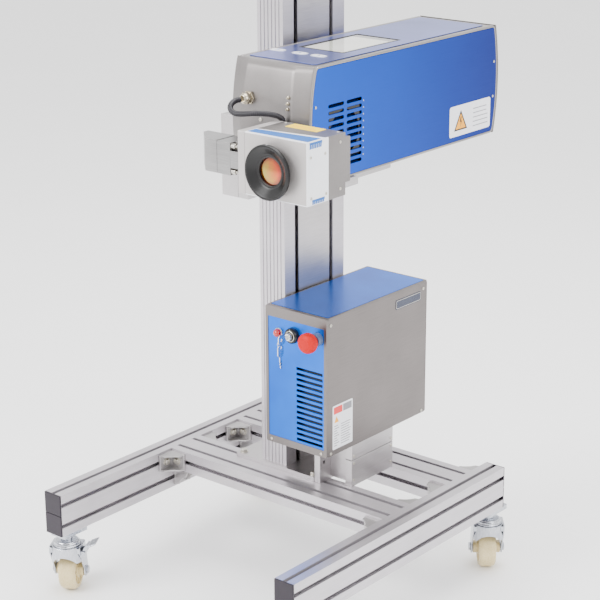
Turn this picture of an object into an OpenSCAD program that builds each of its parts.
// Laser coding machine on a rolling stand: a laser source with a scanning head
// slides up and down a column, beside a power box, on a frame of slotted extrusions.
// Millimetres, +Z up, floor at Z = 0, origin at the middle of the footprint.
// The lens looks along -Y and the laser source lies along Y.

/* [Stand] */
// Width over the two legs
stand_w = 579; // [540:1:640]
// Length of each leg extrusion
leg_len = 600; // [560:1:650]
// Width of one extrusion cell
cell = 40; // [40:1:45]
// Thickness of a leg's plastic end cap
cap_t = 3; // [2:0.5:4]
// Height of a caster, floor to the leg's underside
caster_h = 125; // [120:1:140]
// Diameter of a caster wheel
wheel_d = 75; // [70:1:78]
// Width of a caster wheel
wheel_w = 32; // [28:1:34]
// Distance from a caster's swivel axis to its axle
trail = 20; // [15:1:25]

/* [Column] */
// Size of the column along X
col_w = 57.5; // [50:0.5:60]
// Size of the column along Y
col_d = 167; // [160:1:180]
// Height of the column extrusion
col_h = 900; // [850:10:1000]
// Wall of the column extrusion
col_wall = 5; // [4:0.5:6]
// Width of the two slots in the column's face
slot_w = 10; // [9:0.5:12]
// Diameter of the lead screw
screw_d = 16; // [14:1:18]
// Diameter of the guide rods
rod_d = 12; // [10:1:14]
// Diameter of the handwheel
handwheel_d = 120; // [100:5:140]

/* [Power box] */
// Width of the power box along X
pbox_w = 137.5; // [130:0.5:140]
// Depth of the power box along Y
pbox_d = 292; // [280:1:300]
// Height of the power box
pbox_h = 256; // [240:1:260]
// Height of the riser under the power box
riser_h = 79; // [70:1:90]
// Sheet thickness of the casing
sheet = 2; // [1.5:0.5:3]

/* [Laser source] */
// Width of the laser source along X
body_w = 165; // [155:1:170]
// Height of the laser source
body_h = 195; // [190:1:200]
// Length of the side panels at mid height
body_len = 527; // [500:1:530]
// Depth of the front casting and of the rear cap
end_d = 15; // [12:1:18]
// Radius of the convex front end
bulge_r = 345; // [300:5:400]
// Radius of the flatter rear end
rear_r = 430; // [380:5:480]
// Height of the laser source's underside above the floor
body_z = 799; // [780:1:830]

/* [Scan head] */
// Width of the scan head along X
head_w = 125; // [120:1:130]
// Height of the scan head
head_h = 100; // [95:1:105]
// Diameter of the lens ring
ring_d = 88; // [80:1:92]
// Diameter of the lens
lens_d = 44; // [40:1:48]
// Radius of the beam bores
beam_r = 8; // [6:1:9]

/* [Hidden] */
$fn = 48;
gap = 0.3;
run = 0.05;
eps = 0.01;

// stand
depth_all = 722;
leg_h = 2 * cell;
leg_z = caster_h;
top_z = leg_z + leg_h;
leg_x = (stand_w - cell) / 2;
leg_y0 = -depth_all / 2 + cap_t;
beam_len = stand_w - 2 * cell;
beam_y = [-74, 114];
plate_t = 8;
plate_x = [-129.5, 59.5];
plate_y = [-26, 154];
bracket_hole = 20;
bracket_t = 5;
bolt_r = 3.8;
plate_hole_x = [plate_x[0] + 10.5, plate_x[1] - 10.5];
plate_hole_y = [beam_y[0] + 1.5 * cell, beam_y[1] + cell / 2];
slot_mouth = 8;
slot_deep = 12;
slot_wide = 16;
lip = 4;
stem_y = [leg_y0 + 27, leg_y0 + leg_len - 17];
pad_t = 8;
nut_t = 10;
race_r = 26;
race_t = 9;
race_z = caster_h - pad_t - nut_t - race_t;
crown_t = 3.7;
crown_z = race_z - gap - crown_t;
axle_z = wheel_d / 2;
axle_r = 4;
fork_t = 2.5;
fork_w = wheel_w + 26;
pedal_x = 33;
pedal_z = axle_z + 46.5;
rear_turn = 40;
front_turn = 31;
skirt_z = 66;

// column
col_x = -71.5;
col_y = -17;
col_z = top_z + plate_t;
col_top = col_z + col_h;
slot_y = [col_y + 28.4, col_y + 125];
screw_x = col_x + col_w / 2;
screw_y = (slot_y[0] + slot_y[1] + slot_w) / 2;
rod_gap = 34;
bearing_h = 14;
end_plate_t = 10;

// power box
pbox_x = -11;
pbox_y = -74;
pbox_z = top_z + riser_h;
wall_x = [plate_x[1], plate_x[1] + 13];
outer_x = [pbox_x + pbox_w - 16, pbox_x + pbox_w];
wall_y = [plate_y[0], 119];
outer_y = [-2, 119];
seam_z = top_z + 50;
frame_l = 6;
frame_b = 13;
frame_top = 19;
panel_t = 3;
control_z = pbox_z + 212;
lamp_x = pbox_x + 29.5;
key_x = pbox_x + 62.5;
stop_x = pbox_x + 118;
stop_z = pbox_z + 217;
lamp_z = control_z - 2;
louvre_n = 14;
louvre_pitch = 10.2;

// laser source
body_x = 10.5;
body_y = -173;
body_y1 = body_y + body_len;
body_top = body_z + body_h;
mid_z = body_z + body_h / 2;
shell_t = 5;
rail_h = 4;
post_w = 3;
beam_x = 65.5;
beam_z = body_z + 57.5;
tube_w = 80;
facet_w = 33;
tube_y = [-140, 290];
screen_x = [43.5, 135.5];
screen_y = [-42, 114];
overlay_x = [22.5, 163.5];
overlay_y = [-148, 325];
overlay_t = 0.8;
button_y = -86;
button_x = [33.5, 81, 120.5];
button_w = 26;
button_d = 13;
vent_y = [-111, -61];
vent_n = 10;
vent_pitch = 11.5;
vent_z = body_z + 22;
vent_len = 38;

// carriage
slide_x = [-12, body_x];
slide_y = [-139, 144];
slide_z = [746, 955];
shelf_t = 12;
block_x0 = -48.5;
block_z1 = 886;

// scan head
head_x = 142.5;
head_y = -295;
head_z = 810;
lens_x = head_x + head_w / 2 - 4.5;
cover_t = 1.5;
cover_d = 50;
face_t = 10;
rear_y = head_y + 94;
mount_d = 12.5;
ring_h = 18;
galvo_z = [beam_z + 12, beam_z - 8];
motor_r = 9;
flange_t = 15;
mirror_z = [830, 883];
mirror_y = [head_y + 14, head_y + 57];
beam_y0 = head_y + 39;
mirror_seam = beam_x + 5;
mirror_x1 = head_x - flange_t - 12;
adjust_r = 2.5;
adjust_pos = [[mirror_y[0] + 6, mirror_z[1] - 6], [mirror_y[1] - 6, mirror_z[1] - 6],
              [mirror_y[0] + 6, mirror_z[0] + 6]];
notch = 12;

// flexible conduit from the gland to the back of the mounting flange
conduit_r = 4.8;
gland_x = 58;
gland_z = 935;
conduit_route = [[58, -211, 935], [58, -220, 935], [59.5, -229, 933.5], [62, -237, 930], [66, -241.5, 925.5],
                 [73, -243, 921.5], [82, -242.5, 920.5], [93, -240, 921.5], [104, -236, 923],
                 [114, -230.5, 923.5], [122, -224, 923], [129, -214.5, 921], [133.5, -205, 917.5],
                 [136, -198, 912.5], [136, -195, 905], [136, -195, 896], [136, -195, 886]];
stub_r = 5.4;
stub_h = 10;
conduit_sides = 10;
conduit_steps = 3;

// ---- helpers ----

// A cuboid between two corners
module block(a, b) {
    translate(a) cube([b[0] - a[0], b[1] - a[1], b[2] - a[2]]);
}

// A cylinder along X from a point
module rod_x(p, r, h) {
    translate(p) rotate([0, 90, 0]) cylinder(r = r, h = h);
}

// A cylinder along Y from a point
module rod_y(p, r, h) {
    translate(p) rotate([-90, 0, 0]) cylinder(r = r, h = h);
}

// A cylinder along Z from a point
module rod_z(p, r, h) {
    translate(p) cylinder(r = r, h = h);
}

// Cross-section of one extrusion, w by h, with a T-slot at each cell's middle on every side
module extrusion_2d(w, h) {
    nx = round(w / cell);
    nz = round(h / cell);
    difference() {
        square([w, h], center = true);
        for (i = [0 : nx - 1])
            for (s = [-1, 1])
                translate([(i - (nx - 1) / 2) * cell, s * h / 2])
                    t_slot_2d();
        for (j = [0 : nz - 1])
            for (s = [-1, 1])
                translate([s * w / 2, (j - (nz - 1) / 2) * cell])
                    rotate(90)
                        t_slot_2d();
        for (i = [0 : nx - 1])
            for (j = [0 : nz - 1])
                translate([(i - (nx - 1) / 2) * cell, (j - (nz - 1) / 2) * cell])
                    circle(d = 6.8);
        if (nz > 1)
            square([w / 2.6, h / 8], center = true);
        if (nx > 1)
            square([w / 8, h / 2.6], center = true);
    }
}

// One T-slot, centred on its mouth
module t_slot_2d() {
    square([slot_mouth, 2 * lip + 1], center = true);
    square([slot_mouth, 2 * slot_deep], center = true);
    for (s = [-1, 1])
        translate([0, s * (lip + 2.5)])
            square([slot_wide, 5], center = true);
}

// Side outline of the laser source: two convex ends, seen along X, as [y, z]
module side_2d(inset) {
    intersection() {
        translate([body_y + inset, body_z])
            square([body_len - 2 * inset, body_h]);
        translate([body_y + inset + bulge_r, mid_z])
            circle(r = bulge_r, $fn = 180);
        translate([body_y1 - inset - rear_r, mid_z])
            circle(r = rear_r, $fn = 180);
    }
}

// Extrude a [y, z] outline along X from x0 to x1
module along_x(x0, x1) {
    translate([x0, 0, 0])
        rotate([90, 0, 90])
            linear_extrude(x1 - x0)
                children();
}

// ---- stand ----

module legs() {
    color("gainsboro")
        for (s = [-1, 1])
            translate([s * leg_x, leg_y0 + leg_len, leg_z + leg_h / 2])
                rotate([90, 0, 0])
                    linear_extrude(leg_len)
                        extrusion_2d(cell, leg_h);
}

module cross_beams() {
    color("gainsboro")
        for (y = beam_y)
            translate([-beam_len / 2, y + cell, top_z - cell / 2])
                rotate([90, 0, 90])
                    linear_extrude(beam_len)
                        extrusion_2d(2 * cell, cell);
}

module leg_end_caps() {
    color("#2b2430")
        for (s = [-1, 1])
            for (y = [leg_y0 - cap_t, leg_y0 + leg_len])
                translate([s * leg_x, y + cap_t / 2, leg_z + leg_h / 2])
                    end_cap(y < 0 ? -1 : 1);
}

// One moulded cap with a seam across its middle on the outer side
module end_cap(side) {
    difference() {
        cube([cell, cap_t, leg_h], center = true);
        translate([0, side * cap_t / 2, 0])
            cube([cell + 1, 1, 1.2], center = true);
    }
}

// Cast L bracket in a corner: arms along +X and +Y, gussets above and below
module corner_bracket() {
    arm = 36;
    half = 16;
    gusset = 3.5;
    difference() {
        union() {
            block([0, 0, -half], [arm, bracket_t, half]);
            block([0, 0, -half], [bracket_t, arm, half]);
            for (z = [-half, half - gusset])
                translate([0, 0, z])
                    linear_extrude(gusset)
                        polygon([[0, 0], [arm - 1, 0], [0, arm - 1]]);
        }
        rod_y([bracket_hole, -1, 0], 4.2, bracket_t + 2);
        rod_x([-1, bracket_hole, 0], 4.2, bracket_t + 2);
    }
}

// The two bolts of one bracket, into the slots behind its arms
module bracket_bolts() {
    translate([bracket_hole, bracket_t, 0])
        rotate([-90, 0, 0])
            bolt(bolt_r, 12, 6.5, 5);
    translate([bracket_t, bracket_hole, 0])
        rotate([0, 90, 0])
            bolt(bolt_r, 12, 6.5, 5);
}

// Put a bracket or its bolts at every inside corner of legs and beams
module at_brackets() {
    for (y = beam_y)
        for (s = [-1, 1]) {
            translate([s * beam_len / 2, y, top_z - cell / 2])
                rotate([0, 0, s < 0 ? 270 : 180])
                    children();
            translate([s * beam_len / 2, y + 2 * cell, top_z - cell / 2])
                rotate([0, 0, s < 0 ? 0 : 90])
                    children();
            translate([s * beam_len / 2, y + cell / 2, top_z - cell])
                rotate([0, s < 0 ? 90 : 180, 0])
                    rotate([90, 0, 0])
                        children();
        }
}

module corner_brackets() {
    color("silver")
        at_brackets()
            corner_bracket();
}

// Hexagon bolt with its head on a face at the origin and its shank below
module bolt(r, shank, head_r, head_h) {
    cylinder(r = head_r, h = head_h, $fn = 6);
    translate([0, 0, -shank])
        cylinder(r = r, h = shank + eps);
}

module frame_bolts() {
    color("#b9b3a6") {
        at_brackets()
            bracket_bolts();
        for (x = plate_hole_x)
            for (y = plate_hole_y)
                translate([x, y, col_z])
                    bolt(bolt_r, 14, 6.5, 5);
    }
}

// Pad, nut, stem, upper race and rivet that stay with the leg
module caster_mount() {
    block([-18, -22, caster_h - pad_t], [18, 36, caster_h]);
    rod_z([0, 0, crown_z - 6], 6, caster_h - pad_t - crown_z + 6 + eps);
    translate([0, 0, caster_h - pad_t - nut_t])
        cylinder(r = 11, h = nut_t, $fn = 6);
    translate([0, 0, race_z])
        cylinder(r1 = race_r, r2 = race_r - 7, h = race_t);
    rod_z([0, 0, crown_z - 7], 9, 7 - gap);
}

module caster_mounts() {
    color("silver")
        for (s = [-1, 1])
            for (y = stem_y)
                translate([s * leg_x, y, 0])
                    caster_mount();
}

// Pressed fork with its crown, hood, cheeks and axle, and the brake's hinge on +X; the wheel trails to +Y
module caster_fork(braked) {
    difference() {
        union() {
            rod_z([0, 0, crown_z], fork_w / 2, crown_t);
            block([-fork_w / 2, -18, crown_z - 4], [fork_w / 2, 20, crown_z + crown_t]);
            for (s = [-1, 1])
                along_x(s * fork_w / 2 - (s > 0 ? fork_t : 0), s * fork_w / 2 + (s < 0 ? fork_t : 0))
                    fork_side_2d();
            fork_skirt();
        }
        rod_z([0, 0, crown_z - 20], 6 + run, 40);
        block([-fork_w / 2 + fork_t, -40, 0], [fork_w / 2 - fork_t, 60, crown_z]);
    }
    rod_x([-fork_w / 2 - 4, trail, axle_z], axle_r, fork_w + 8);
    for (s = [-1, 1])
        translate([s * (fork_w / 2 + 2) - 2, trail, axle_z])
            rotate([0, 90, 0])
                cylinder(r = 7.5, h = 4, $fn = 6);
    if (braked) {
        for (y = [-13, 10.5])
            block([fork_w / 2 - eps, y, pedal_z - 5], [fork_w / 2 + 7, y + 2.5, pedal_z + 4]);
        rod_y([pedal_x, -13.5, pedal_z], 2.5, 27);
    }
}

// Front half of the pressed hood, arched over the wheel
module fork_skirt() {
    r = fork_w / 2;
    difference() {
        rod_z([0, 0, skirt_z], r, crown_z + crown_t - skirt_z);
        rod_z([0, 0, skirt_z - 1], r - fork_t, crown_z - skirt_z + 1);
        block([-r - 1, 0, skirt_z - 1], [r + 1, r + 1, crown_z + crown_t + 1]);
        rod_y([0, -r - 1, skirt_z - 10], 24, r + 2);
    }
}

// Outline of a fork cheek, as [y, z]
module fork_side_2d() {
    polygon([[-18, crown_z + crown_t], [20, crown_z + crown_t], [trail + 12, axle_z + 3],
             [trail + 8, axle_z - 9], [trail - 8, axle_z - 9], [trail - 14, axle_z + 8],
             [-18, crown_z - 10]]);
    translate([trail, axle_z])
        circle(r = 12);
}

module caster_wheel() {
    difference() {
        union() {
            translate([-wheel_w / 2, trail, axle_z])
                rotate([0, 90, 0])
                    rotate([0, 0, 180])
                        wheel_turned();
            rod_x([-fork_w / 2 + fork_t + 1, trail, axle_z], 12, fork_w - 2 * fork_t - 2);
        }
        rod_x([-fork_w, trail, axle_z], axle_r + run, 2 * fork_w);
    }
}

// The wheel's turned outline about its own axis, with rounded tread corners
module wheel_turned() {
    r = wheel_d / 2;
    rotate_extrude($fn = 72)
        difference() {
            polygon([[0, 0], [r - 5, 0], [r - 1.5, 1.5], [r, 6], [r, wheel_w - 6], [r - 1.5, wheel_w - 1.5],
                     [r - 5, wheel_w], [0, wheel_w]]);
            translate([15, -1])
                square([13, 5]);
            translate([15, wheel_w - 4])
                square([13, 5]);
        }
}

// Foot lever of a braked caster, hinged beside the fork: a cranked arm with a wide tread at its end
module brake_pedal() {
    difference() {
        union() {
            across_y(-10, 10)
                polygon([[30.5, pedal_z - 5], [35.5, pedal_z - 5], [37, crown_z - 5], [44, crown_z + 3],
                         [44, crown_z + 7], [38, crown_z + 6], [33, crown_z - 1], [30.5, pedal_z + 3]]);
            across_y(-15, 15)
                polygon([[42, crown_z + 2.5], [57, crown_z + 10], [57, crown_z + 13], [42, crown_z + 6.5]]);
        }
        rod_y([pedal_x, -16, pedal_z], 2.5 + run, 32);
    }
}

// Extrude an [x, z] outline along Y from y0 to y1
module across_y(y0, y1) {
    translate([0, y1, 0])
        rotate([90, 0, 0])
            linear_extrude(y1 - y0)
                children();
}

// Put a caster part under one corner: s = -1 left, 1 right; rear casters stand turned
module at_corner(s, rear) {
    translate([s * leg_x, stem_y[rear], 0])
        rotate([0, 0, s * (rear == 1 ? rear_turn : -front_turn)])
            children();
}

// ---- column ----

module column_foot_plate() {
    color("#d8d2c8")
        difference() {
            union() {
                block([plate_x[0], plate_y[0], top_z], [plate_x[1], plate_y[1], col_z]);
                rod_z([screw_x, screw_y, col_z - eps], 18, bearing_h);
            }
            rod_z([screw_x, screw_y, col_z], screw_d / 2 + run, bearing_h + 1);
            for (x = plate_hole_x)
                for (y = plate_hole_y)
                    rod_z([x, y, top_z - 1], 4.5, plate_t + 2);
        }
}

module column_profile() {
    ribs = 6;
    color("#d9d4da")
        translate([0, 0, col_z])
            linear_extrude(col_h)
                difference() {
                    translate([col_x, col_y])
                        square([col_w, col_d]);
                    translate([col_x + col_wall, col_y + col_wall])
                        square([col_w - 2 * col_wall, col_d - 2 * col_wall]);
                    translate([col_x + col_w - col_wall - 1, slot_y[0]])
                        square([col_wall + 2, slot_y[1] + slot_w - slot_y[0]]);
                    for (i = [0 : ribs - 1])
                        for (y = [col_y, col_y + col_d])
                            translate([col_x + col_w * (i + 1) / (ribs + 1), y])
                                square([2.6, 2.4], center = true);
                }
}

module column_centre_cover() {
    color("#dedade")
        block([col_x + col_w - col_wall, slot_y[0] + slot_w, col_z], [col_x + col_w, slot_y[1], col_top]);
}

module guide_rods() {
    color("silver")
        for (s = [-1, 1])
            rod_z([screw_x, screw_y + s * rod_gap, col_z], rod_d / 2, col_h);
}

module column_top_plate() {
    color("#d8d8dc")
        difference() {
            union() {
                block([col_x - 2, col_y - 2, col_top],
                      [col_x + col_w + 2, col_y + col_d + 2, col_top + end_plate_t]);
                rod_z([screw_x, screw_y, col_top], 18, end_plate_t + 16);
            }
            rod_z([screw_x, screw_y, col_top - 1], screw_d / 2 + run, end_plate_t + 20);
        }
}

module lead_screw() {
    color("silver")
        rod_z([screw_x, screw_y, col_z + 0.5], screw_d / 2, col_h + end_plate_t + 39.5);
}

module handwheel() {
    hub_z = col_top + end_plate_t + 16.5;
    rim = handwheel_d / 2 - 6;
    color("#303036")
        translate([screw_x, screw_y, 0]) {
            difference() {
                union() {
                    rod_z([0, 0, hub_z], 16, 24);
                    for (a = [0, 120, 240])
                        rotate([0, 0, a])
                            block([0, -5, hub_z + 7], [rim, 5, hub_z + 15]);
                    translate([0, 0, hub_z + 11])
                        rotate_extrude($fn = 72)
                            translate([rim, 0])
                                circle(r = 6, $fn = 24);
                }
                rod_z([0, 0, hub_z - 1], screw_d / 2, 26);
            }
            rod_z([rim, 0, hub_z + 14], 4, 46.3);
            rod_z([rim, 0, hub_z + 60], 7, 4);
        }
}

module handwheel_grip() {
    hub_z = col_top + end_plate_t + 16.5;
    color("#222226")
        translate([screw_x + handwheel_d / 2 - 6, screw_y, hub_z + 18])
            difference() {
                rotate_extrude()
                    polygon([[0, 0], [8, 0], [9, 3], [11, 20], [10.5, 34], [8, 40], [0, 41]]);
                rod_z([0, 0, -1], 4 + run, 44);
            }
}

// ---- riser and power box ----

module riser() {
    color("#d2ccd0") {
        difference() {
            union() {
                block([wall_x[0] + gap, wall_y[0], top_z], [wall_x[1], wall_y[1], pbox_z]);
                block([outer_x[0], outer_y[0], top_z], [outer_x[1], outer_y[1], pbox_z]);
                for (y = [outer_y[0] + 7, outer_y[1] - 15])
                    block([wall_x[1] - eps, y, top_z + 5], [outer_x[0] + eps, y + 8, pbox_z]);
            }
            block([outer_x[1] - 1, outer_y[0] - 1, seam_z], [outer_x[1] + 1, outer_y[1] + 1, seam_z + 0.8]);
            rod_x([wall_x[1] - 3, wall_y[0] + 12, top_z + 38], 3, 10);
        }
        for (y = [outer_y[0] + 6, outer_y[1] - 6])
            for (z = [top_z + 12, seam_z - 6, seam_z + 8])
                rod_x([outer_x[1], y, z], 2.6, 1);
    }
}

module power_casing() {
    x1 = pbox_x + pbox_w;
    y1 = pbox_y + pbox_d;
    z1 = pbox_z + pbox_h;
    color("#a9a4a4")
        difference() {
            block([pbox_x, pbox_y, pbox_z], [x1, y1, z1]);
            block([pbox_x + sheet, pbox_y + sheet + panel_t, pbox_z + sheet],
                  [x1 - sheet, y1 - sheet, z1 - sheet]);
            block([pbox_x + frame_l, pbox_y - 1, pbox_z + frame_b],
                  [x1 - frame_l, pbox_y + 10, z1 - frame_top]);
            block([pbox_x + 3, pbox_y + 3, z1 - sheet - 1], [x1 - 3, y1 - 3, z1 + 1]);
            block([pbox_x + 20, y1 - 5, pbox_z + 20], [pbox_x + 48, y1 + 1, pbox_z + 68]);
            for (x = [pbox_x + 75, pbox_x + 110])
                rod_y([x, y1 - 5, pbox_z + 44], 9, 10);
            for (i = [0 : 7])
                block([pbox_x + 30, y1 - 5, pbox_z + 120 + i * 12],
                      [pbox_x + 108, y1 + 1, pbox_z + 126 + i * 12]);
        }
}

module power_lid() {
    z1 = pbox_z + pbox_h;
    color("#1f7fd6")
        block([pbox_x + 3, pbox_y + 3, z1 - sheet], [pbox_x + pbox_w - 3, pbox_y + pbox_d - 3, z1]);
}

module power_front_panel() {
    x0 = pbox_x + frame_l;
    x1 = pbox_x + pbox_w - frame_l;
    color("#1c78d2")
        difference() {
            block([x0, pbox_y + 0.8, pbox_z + frame_b],
                  [x1, pbox_y + 0.8 + panel_t, pbox_z + pbox_h - frame_top]);
            for (i = [0 : louvre_n - 1])
                block([x1 - 62, pbox_y, pbox_z + 17.5 + i * louvre_pitch],
                      [x1 - 3.5, pbox_y + 10, pbox_z + 22.5 + i * louvre_pitch]);
            rod_y([lamp_x, pbox_y - 1, lamp_z], 6, 20);
            rod_y([key_x, pbox_y - 1, control_z], 9.5, 20);
            rod_y([stop_x, pbox_y - 1, stop_z], 11, 20);
        }
}

module power_supply() {
    color("#c9c9c2")
        difference() {
            block([pbox_x + 16, pbox_y + 90, pbox_z + sheet], [pbox_x + 121, pbox_y + 262, pbox_z + 57]);
            for (i = [0 : 7])
                block([pbox_x + 26, pbox_y + 110 + i * 17, pbox_z + 50],
                      [pbox_x + 111, pbox_y + 116 + i * 17, pbox_z + 60]);
        }
}

module mains_inlet() {
    y1 = pbox_y + pbox_d;
    color("#26262a") {
        difference() {
            union() {
                block([pbox_x + 20, y1 - 22, pbox_z + 20], [pbox_x + 48, y1, pbox_z + 68]);
                block([pbox_x + 16, y1, pbox_z + 16], [pbox_x + 52, y1 + 2.5, pbox_z + 72]);
            }
            block([pbox_x + 24, y1 - 16, pbox_z + 34], [pbox_x + 44, y1 + 4, pbox_z + 62]);
        }
        for (x = [pbox_x + 75, pbox_x + 110]) {
            rod_y([x, y1 - 12, pbox_z + 44], 9, 12);
            rod_y([x, y1, pbox_z + 44], 12, 3);
            rod_y([x, y1 + 2, pbox_z + 44], 8, 9);
        }
    }
}

module pilot_lamp() {
    color("#d22a2a") {
        rod_y([lamp_x, pbox_y + 0.8 - 2, lamp_z], 9, 2);
        rod_y([lamp_x, pbox_y - 10, lamp_z], 7.5, 9);
        rod_y([lamp_x, pbox_y - 2, lamp_z], 6, 31);
    }
}

module key_switch() {
    color("#1d1d20")
        difference() {
            union() {
                rod_y([key_x, pbox_y + 0.8 - 9, control_z], 14, 9);
                rod_y([key_x, pbox_y, control_z], 9.5, 34);
            }
            rod_y([key_x, pbox_y - 12, control_z], 7 + run, 24);
        }
}

// Lock barrel with the key in it; the bow stands out along -Y
module key() {
    y0 = pbox_y - 15;
    color("silver")
        difference() {
            union() {
                rod_y([key_x, y0, control_z], 7, 26);
                block([key_x - 1.2, y0 - 7, control_z - 4], [key_x + 1.2, y0 + 1, control_z + 4]);
                block([key_x - 1.2, y0 - 24, control_z - 9], [key_x + 1.2, y0 - 6, control_z + 9]);
            }
            rod_x([key_x - 5, y0 - 18, control_z], 3, 10);
        }
}

module stop_switch_base() {
    color("#2a2a2e")
        difference() {
            union() {
                rod_y([stop_x, pbox_y + 0.8 - 11, stop_z], 12, 11);
                rod_y([stop_x, pbox_y, stop_z], 11, 40);
            }
            rod_y([stop_x, pbox_y - 13, stop_z], 8 + run, 43);
        }
}

// Mushroom head and plunger; it slides in along +Y
module stop_button() {
    color("#d8202a")
        translate([stop_x, pbox_y, stop_z])
            rotate([90, 0, 0])
                rotate_extrude($fn = 72)
                    polygon([[0, -20], [8, -20], [8, 15], [12, 17], [16, 19], [17.5, 22], [17.5, 32],
                             [16, 36], [12, 38], [0, 39]]);
}

// ---- carriage ----

module carriage_nut() {
    z0 = mid_z - 92;
    y0 = slot_y[0] + slot_w / 2 - 4;
    y1 = slot_y[1] + slot_w / 2 + 4;
    color("#b98d4a")
        difference() {
            union() {
                block([screw_x - 20, y0, z0], [screw_x + 18, y1, z0 + 70]);
                for (y = [y0, y1 - 8])
                    block([screw_x + 17, y, z0], [slide_x[0], y + 8, z0 + 70]);
            }
            rod_z([screw_x, screw_y, z0 - 1], screw_d / 2 + run, 72);
            for (s = [-1, 1])
                rod_z([screw_x, screw_y + s * rod_gap, z0 - 1], rod_d / 2 + run, 72);
        }
}

// Slide plate with the box that wraps the column's front, the shelf and the head's upright
module carriage_bracket() {
    block_y1 = col_y - 0.6;
    color("#dcd6d8") {
        difference() {
            union() {
                block([slide_x[0], slide_y[0], slide_z[0]], [slide_x[1], slide_y[1], slide_z[1]]);
                block([block_x0, slide_y[0], slide_z[0]], [slide_x[0] + eps, block_y1, block_z1]);
                block([slide_x[1] - eps, slide_y[0] + 8, body_z - shelf_t], [162.5, 56, body_z]);
                block([head_x, rear_y, body_z - shelf_t], [head_x + 38, slide_y[0] + 78, body_z]);
                block([30, slide_y[0] + 8, body_z - 2 * shelf_t], [158, -28, body_z - shelf_t + eps]);
                block([head_x + 4, rear_y, body_z - eps], [head_x + 38, rear_y + mount_d, head_z + 20]);
            }
            block([block_x0 + 8, slide_y[0] + 8, slide_z[0] + 8],
                  [slide_x[0] - 4, block_y1 + 1, block_z1 - 8]);
        }
    }
}

// ---- laser source ----

module laser_shell() {
    x1 = body_x + body_w;
    color("#b5b1b0")
        difference() {
            along_x(body_x, x1)
                side_2d(0);
            block([body_x + 2, body_y - 20, body_z + shell_t], [x1 - 2, body_y1 + 20, body_top - shell_t]);
            along_x(body_x - 1, x1 + 1)
                window_2d();
            block([screen_x[0], screen_y[0], body_top - shell_t - 1],
                  [screen_x[1], screen_y[1], body_top + 1]);
            for (x = button_x)
                translate([x, button_y, body_top - 2])
                    linear_extrude(3)
                        oval_2d(0.4);
        }
}

// Side window of the shell, filled by a side panel
module window_2d() {
    intersection() {
        side_2d(post_w);
        translate([body_y, body_z + rail_h])
            square([body_len, body_h - 2 * rail_h]);
    }
}

// Outline of a menu button, grown by c
module oval_2d(c) {
    for (s = [-1, 1])
        translate([s * (button_w - button_d) / 2, 0])
            circle(d = button_d + 2 * c);
    square([button_w - button_d, button_d + 2 * c], center = true);
}

module laser_side_panels() {
    x1 = body_x + body_w;
    color("#0d4fd8") {
        difference() {
            along_x(x1 - 2, x1)
                window_2d();
            for (y = vent_y)
                for (i = [0 : vent_n - 1])
                    block([x1 - 3, y - vent_len / 2, vent_z + i * vent_pitch],
                          [x1 + 1, y + vent_len / 2, vent_z + 5.5 + i * vent_pitch]);
        }
        along_x(body_x, body_x + 2)
            window_2d();
    }
}

// Half lens-shaped slab behind a convex end, as [y, z]; d moves it outwards, cut trims top and bottom
module end_2d(side, d, cut) {
    radius = side < 0 ? bulge_r : rear_r;
    yc = side < 0 ? body_y - d + radius : body_y1 + d - radius;
    y0 = side < 0 ? body_y - d : body_y1 + d - 32;
    intersection() {
        translate([yc, mid_z])
            circle(r = radius, $fn = 150);
        translate([y0, body_z + cut])
            square([32, body_h - 2 * cut]);
    }
}

module front_casting() {
    x1 = body_x + body_w;
    color("#a8a3a0")
        difference() {
            hull() {
                along_x(body_x, x1)
                    end_2d(-1, 2, 0);
                along_x(body_x + facet_w, x1 - facet_w)
                    end_2d(-1, end_d, 7);
            }
            along_x(body_x - 1, x1 + 1)
                translate([body_y + bulge_r, mid_z])
                    circle(r = bulge_r, $fn = 180);
            rod_y([gland_x, body_y - 60, gland_z], 12.3, 49);
            rod_y([beam_x, body_y - 60, beam_z], 16, 53);
            rod_y([beam_x, body_y - 60, beam_z], beam_r, 90);
        }
}

module rear_cap() {
    x1 = body_x + body_w;
    color("#a8a3a0")
        difference() {
            hull() {
                along_x(body_x, x1)
                    end_2d(1, 3, 0);
                along_x(body_x + 12, x1 - 12)
                    end_2d(1, depth_all / 2 - body_y1, 8);
            }
            along_x(body_x - 1, x1 + 1)
                translate([body_y1 - rear_r, mid_z])
                    circle(r = rear_r, $fn = 180);
        }
}

module laser_tube() {
    fins = 14;
    color("#c4c8cc")
        difference() {
            union() {
                block([beam_x - tube_w / 2, tube_y[0], beam_z - tube_w / 2],
                      [beam_x + tube_w / 2, tube_y[1], beam_z + tube_w / 2]);
                for (y = [tube_y[0] + 20, tube_y[1] - 50])
                    block([beam_x - 30, y, body_z + shell_t],
                          [beam_x + 30, y + 30, beam_z - tube_w / 2 + eps]);
                rod_y([beam_x, tube_y[0] - 14, beam_z], 18, 15);
            }
            for (i = [0 : fins - 1])
                block([beam_x - tube_w / 2 - 1, tube_y[0] + 30 + i * 27, beam_z + tube_w / 2 - 10],
                      [beam_x + tube_w / 2 + 1, tube_y[0] + 42 + i * 27, beam_z + tube_w / 2 + 1]);
            rod_y([beam_x, tube_y[0] - 20, beam_z], beam_r, 40);
        }
}

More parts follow.
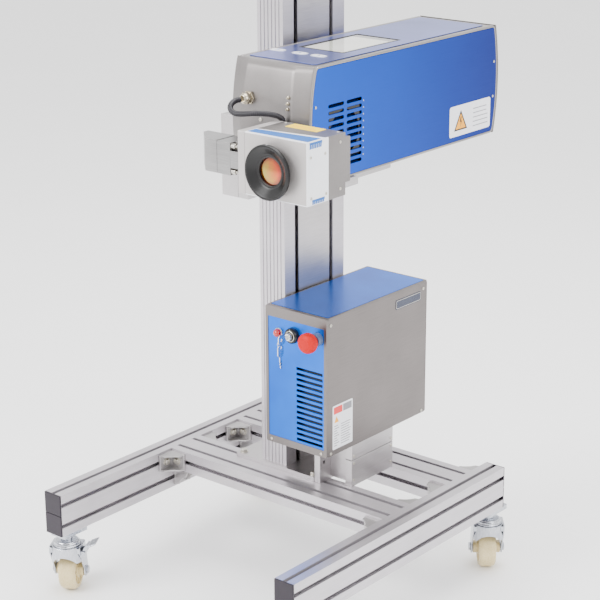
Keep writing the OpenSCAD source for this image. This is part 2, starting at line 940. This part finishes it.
module laser_fan_frame() {
    x1 = body_x + body_w - 2;
    yc = (vent_y[0] + vent_y[1]) / 2;
    zc = vent_z + (vent_n - 1) * vent_pitch / 2 + 3;
    color("#1c1c1e") {
        difference() {
            block([x1 - 25, yc - 40, zc - 40], [x1, yc + 40, zc + 40]);
            rod_x([x1 - 30, yc, zc], 38, 40);
        }
        for (a = [45, 135])
            translate([x1 - 25, yc, zc])
                rotate([a, 0, 0])
                    block([0, -45, -3], [3, 45, 3]);
        rod_x([x1 - 25, yc, zc], 18, 3);
        rod_x([x1 - 23, yc, zc], 3, 20);
    }
}

module laser_fan_rotor() {
    x1 = body_x + body_w - 2;
    yc = (vent_y[0] + vent_y[1]) / 2;
    zc = vent_z + (vent_n - 1) * vent_pitch / 2 + 3;
    color("#2c2c30")
        translate([x1 - 21, yc, zc])
            difference() {
                union() {
                    rod_x([0, 0, 0], 16, 17);
                    for (i = [0 : 6])
                        rotate([i * 360 / 7, 0, 0])
                            translate([8.5, 0, 0])
                                rotate([0, 0, 32])
                                    block([-8, -0.8, 10], [8, 0.8, 36]);
                }
                rod_x([-1, 0, 0], 3 + run, 30);
            }
}

module top_overlay() {
    color("#8f9be6")
        difference() {
            block([overlay_x[0], overlay_y[0], body_top], [overlay_x[1], overlay_y[1], body_top + overlay_t]);
            block([screen_x[0], screen_y[0], body_top - 1], [screen_x[1], screen_y[1], body_top + 2]);
            for (x = button_x)
                translate([x, button_y, body_top - 1])
                    linear_extrude(3)
                        oval_2d(0.4);
        }
}

module display_window() {
    color("#e9e7da")
        block([screen_x[0], screen_y[0], body_top - 4], [screen_x[1], screen_y[1], body_top + 0.3]);
}

module menu_button(x) {
    color("white")
        translate([x, button_y, body_top - 0.9])
            linear_extrude(2.7)
                oval_2d(0);
}

// ---- beam path and scan head ----

module mirror_housing() {
    z0 = mirror_z[0];
    z1 = mirror_z[1];
    color("#b3afae") {
        difference() {
            translate([0, 0, z0])
                linear_extrude(z1 - z0)
                    polygon([[45.5, mirror_y[0]], [mirror_seam, mirror_y[0]], [mirror_seam, mirror_y[1]],
                             [13.5, mirror_y[1]], [13.5, mirror_y[1] - 11]]);
            rod_y([beam_x, beam_y0 - 6, beam_z], beam_r, 60);
            rod_x([beam_x - 6, beam_y0, beam_z], beam_r, 60);
        }
        difference() {
            block([mirror_seam + 0.2, mirror_y[0], z0], [mirror_x1, mirror_y[1], z1]);
            rod_x([mirror_seam - 5, beam_y0, beam_z], beam_r, 100);
            for (p = adjust_pos) {
                block([mirror_x1 - notch - 7, p[0] - notch / 2, p[1] - notch / 2],
                      [mirror_x1 + 1, p[0] + notch / 2, p[1] + notch / 2]);
                rod_x([mirror_x1 - notch - 17, p[0], p[1]], adjust_r + run, 40);
            }
        }
        difference() {
            block([head_x - flange_t, head_y, head_z], [head_x, rear_y, head_z + head_h]);
            rod_x([head_x - flange_t - 1, beam_y0, beam_z], beam_r, flange_t + 2);
        }
        difference() {
            rod_y([beam_x, mirror_y[1], beam_z], 16, body_y - 7 - mirror_y[1]);
            rod_y([beam_x, mirror_y[1] - 1, beam_z], beam_r, 80);
        }
        difference() {
            rod_x([mirror_x1, beam_y0, beam_z], 15, head_x - flange_t - mirror_x1);
            rod_x([mirror_x1 - 1, beam_y0, beam_z], beam_r + 3, 20);
        }
    }
}

module adjuster_screws() {
    color("#c9a75c")
        for (p = adjust_pos) {
            rod_x([mirror_x1 - notch - 15, p[0], p[1]], adjust_r, notch + 15 + head_x - flange_t - mirror_x1);
            rod_x([mirror_x1 - notch - 5, p[0], p[1]], 4.5, 8);
        }
}

module scan_head_body() {
    x1 = head_x + head_w;
    z1 = head_z + head_h;
    color("#b8b2b0")
        difference() {
            union() {
                block([head_x, head_y, head_z + cover_t], [x1 - cover_t, rear_y, z1 - cover_t]);
                block([head_x, head_y + cover_d, head_z], [x1, rear_y, z1]);
                block([head_x, head_y + 26, z1 - cover_t - 1], [x1 - cover_t, rear_y, z1]);
                block([head_x, rear_y - eps, head_z + 20], [x1, rear_y + mount_d, z1 - 8]);
            }
            block([head_x + 6, head_y + face_t, head_z + 6], [x1 - 7.5, rear_y - 6, z1 - 7.5]);
            rod_x([head_x - 1, beam_y0, beam_z], beam_r, 10);
            rod_y([lens_x, head_y - 1, beam_z], 30, face_t + 2);
        }
}

// White sheet cover: top strip, right side and bottom
module scan_head_cover() {
    x1 = head_x + head_w;
    z1 = head_z + head_h;
    color("white") {
        block([x1 - cover_t, head_y, head_z], [x1, head_y + cover_d, z1]);
        block([head_x, head_y, z1 - cover_t], [x1 - cover_t + eps, head_y + 26, z1]);
        block([head_x, head_y, head_z], [x1 - cover_t + eps, head_y + cover_d, head_z + cover_t]);
    }
}

module galvo_motors() {
    floor_z = head_z + 6;
    color("#8f8f95")
        difference() {
            union() {
                rod_y([lens_x, beam_y0 + 10, galvo_z[0]], motor_r, 36);
                rod_x([lens_x + 14, beam_y0, galvo_z[1]], motor_r, 40);
                block([lens_x - 18, beam_y0 + 18, floor_z], [lens_x + 18, beam_y0 + 24, galvo_z[0]]);
                block([lens_x + 22, beam_y0 - 14, floor_z], [lens_x + 28, beam_y0 + 14, galvo_z[1]]);
            }
            rod_y([lens_x, beam_y0, galvo_z[0]], 2 + run, 30);
            rod_x([lens_x, beam_y0, galvo_z[1]], 2 + run, 35);
        }
}

// First mirror: turns about Y and throws the beam down
module galvo_mirror_x() {
    color("gold")
        translate([lens_x, beam_y0, galvo_z[0]]) {
            rotate([0, 45, 0])
                block([-7, -6, -1], [7, 6, 1]);
            rod_y([0, 5, 0], 2, 22);
        }
}

// Second mirror: turns about X and throws the beam through the lens
module galvo_mirror_y() {
    color("gold")
        translate([lens_x, beam_y0, galvo_z[1]]) {
            rotate([-45, 0, 0])
                block([-7, -7, -1], [7, 7, 1]);
            rod_x([6, 0, 0], 2, 26);
        }
}

// Black turned ring with a funnel-shaped mouth, screwed into the head's face
module lens_ring() {
    r = ring_d / 2;
    l = lens_d / 2;
    color("#151517")
        translate([lens_x, head_y, beam_z])
            rotate([90, 0, 0])
                rotate_extrude($fn = 96)
                    polygon([[30, 0], [33, 0], [34, 1], [r - 0.6, ring_h - 6.6], [r, ring_h - 6],
                             [r, ring_h - 1.5], [r - 1.5, ring_h], [r - 4, ring_h], [l + 4, ring_h - 10],
                             [l, ring_h - 10], [l, 3], [l + 1, 3], [l + 1, -6], [30, -6]]);
}

module lens() {
    color("orange")
        rod_y([lens_x, head_y - 7.5, beam_z], lens_d / 2, 4.5);
}

// Gland on the front casting and the small junction block behind the mounting flange
module conduit_glands() {
    p = conduit_route[0];
    q = conduit_route[len(conduit_route) - 1];
    base_y = body_y - 11;
    color("#c7b58a") {
        difference() {
            union() {
                rod_y([p[0], p[1], p[2]], 9, base_y - p[1]);
                translate([p[0], base_y, p[2]])
                    rotate([90, 0, 0])
                        cylinder(r = 12, h = 9, $fn = 6);
                translate([p[0], p[1] + 8, p[2]])
                    rotate([90, 0, 0])
                        cylinder(r = 10.5, h = 7, $fn = 6);
            }
            rod_y([p[0], p[1] - 1, p[2]], conduit_r, 18);
        }
        rod_z([q[0], q[1], q[2] - stub_h], stub_r, stub_h);
        block([q[0] - 6, rear_y, q[2] - stub_h - 14], [q[0] + 6, rear_y + 11.5, q[2] - stub_h + eps]);
    }
}

// Point on a smooth curve through the points around the span from a to b
function smooth_point(p, a, b, q, t) =
    0.5 * (2 * a + (b - p) * t + (2 * p - 5 * a + 4 * b - q) * t * t + (3 * a - p - 3 * b + q) * t * t * t);

// The route with extra points between its own
function smooth_route(r, n) =
    let (m = len(r) - 1)
    [for (i = [0 : m - 1])
        for (j = [0 : n - 1])
            smooth_point(r[max(i - 1, 0)], r[i], r[i + 1], r[min(i + 2, m)], j / n),
     r[m]];

// Unit direction of the route at point i
function heading(r, i) =
    let (d = r[min(i + 1, len(r) - 1)] - r[max(i - 1, 0)])
    d / norm(d);

// Ring of points about p, square to direction d
function ring_at(p, d, radius, sides) =
    let (u = cross(d, [0.3, 0.2, 1]), a = u / norm(u), b = cross(d, a))
    [for (k = [0 : sides - 1]) p + radius * (a * cos(360 * k / sides) + b * sin(360 * k / sides))];

module conduit() {
    r = smooth_route(conduit_route, conduit_steps);
    n = conduit_sides;
    m = len(r);
    points = [for (i = [0 : m - 1]) each ring_at(r[i], heading(r, i), conduit_r, n)];
    side_faces = [for (i = [0 : m - 2])
                      for (k = [0 : n - 1])
                          [i * n + k, i * n + (k + 1) % n, (i + 1) * n + (k + 1) % n, (i + 1) * n + k]];
    first = [for (k = [n - 1 : -1 : 0]) k];
    last = [for (k = [0 : n - 1]) (m - 1) * n + k];
    color("#2c2a30")
        polyhedron(points = points, faces = concat([first], side_faces, [last]), convexity = 6);
}

// Zinc plating of the forks and pedals
module fork_colour() {
    color("#c3c9d2") children();
}

// Cream nylon of the wheels
module wheel_colour() {
    color("#ead9ad") children();
}

legs();
cross_beams();
leg_end_caps();
corner_brackets();
frame_bolts();
caster_mounts();
column_foot_plate();
column_profile();
column_centre_cover();
guide_rods();
column_top_plate();
lead_screw();
handwheel();
handwheel_grip();
riser();
power_casing();
power_lid();
power_front_panel();
power_supply();
mains_inlet();
pilot_lamp();
key_switch();
key();
stop_switch_base();
stop_button();
carriage_nut();
carriage_bracket();
laser_shell();
laser_side_panels();
front_casting();
rear_cap();
laser_tube();
laser_fan_frame();
laser_fan_rotor();
top_overlay();
display_window();
menu_button(button_x[0]);  // menu_button_1
menu_button(button_x[1]);  // menu_button_2
menu_button(button_x[2]);  // menu_button_3
mirror_housing();
adjuster_screws();
scan_head_body();
scan_head_cover();
galvo_motors();
galvo_mirror_x();
galvo_mirror_y();
lens_ring();
lens();
conduit_glands();
conduit();
at_corner(-1, 0) fork_colour() caster_fork(true);  // caster_fork_fl
at_corner(1, 0) fork_colour() caster_fork(true);  // caster_fork_fr
at_corner(-1, 1) fork_colour() caster_fork(false);  // caster_fork_rl
at_corner(1, 1) fork_colour() caster_fork(false);  // caster_fork_rr
at_corner(-1, 0) wheel_colour() caster_wheel();  // caster_wheel_fl
at_corner(1, 0) wheel_colour() caster_wheel();  // caster_wheel_fr
at_corner(-1, 1) wheel_colour() caster_wheel();  // caster_wheel_rl
at_corner(1, 1) wheel_colour() caster_wheel();  // caster_wheel_rr
at_corner(-1, 0) fork_colour() brake_pedal();  // brake_pedal_l
at_corner(1, 0) fork_colour() brake_pedal();  // brake_pedal_r
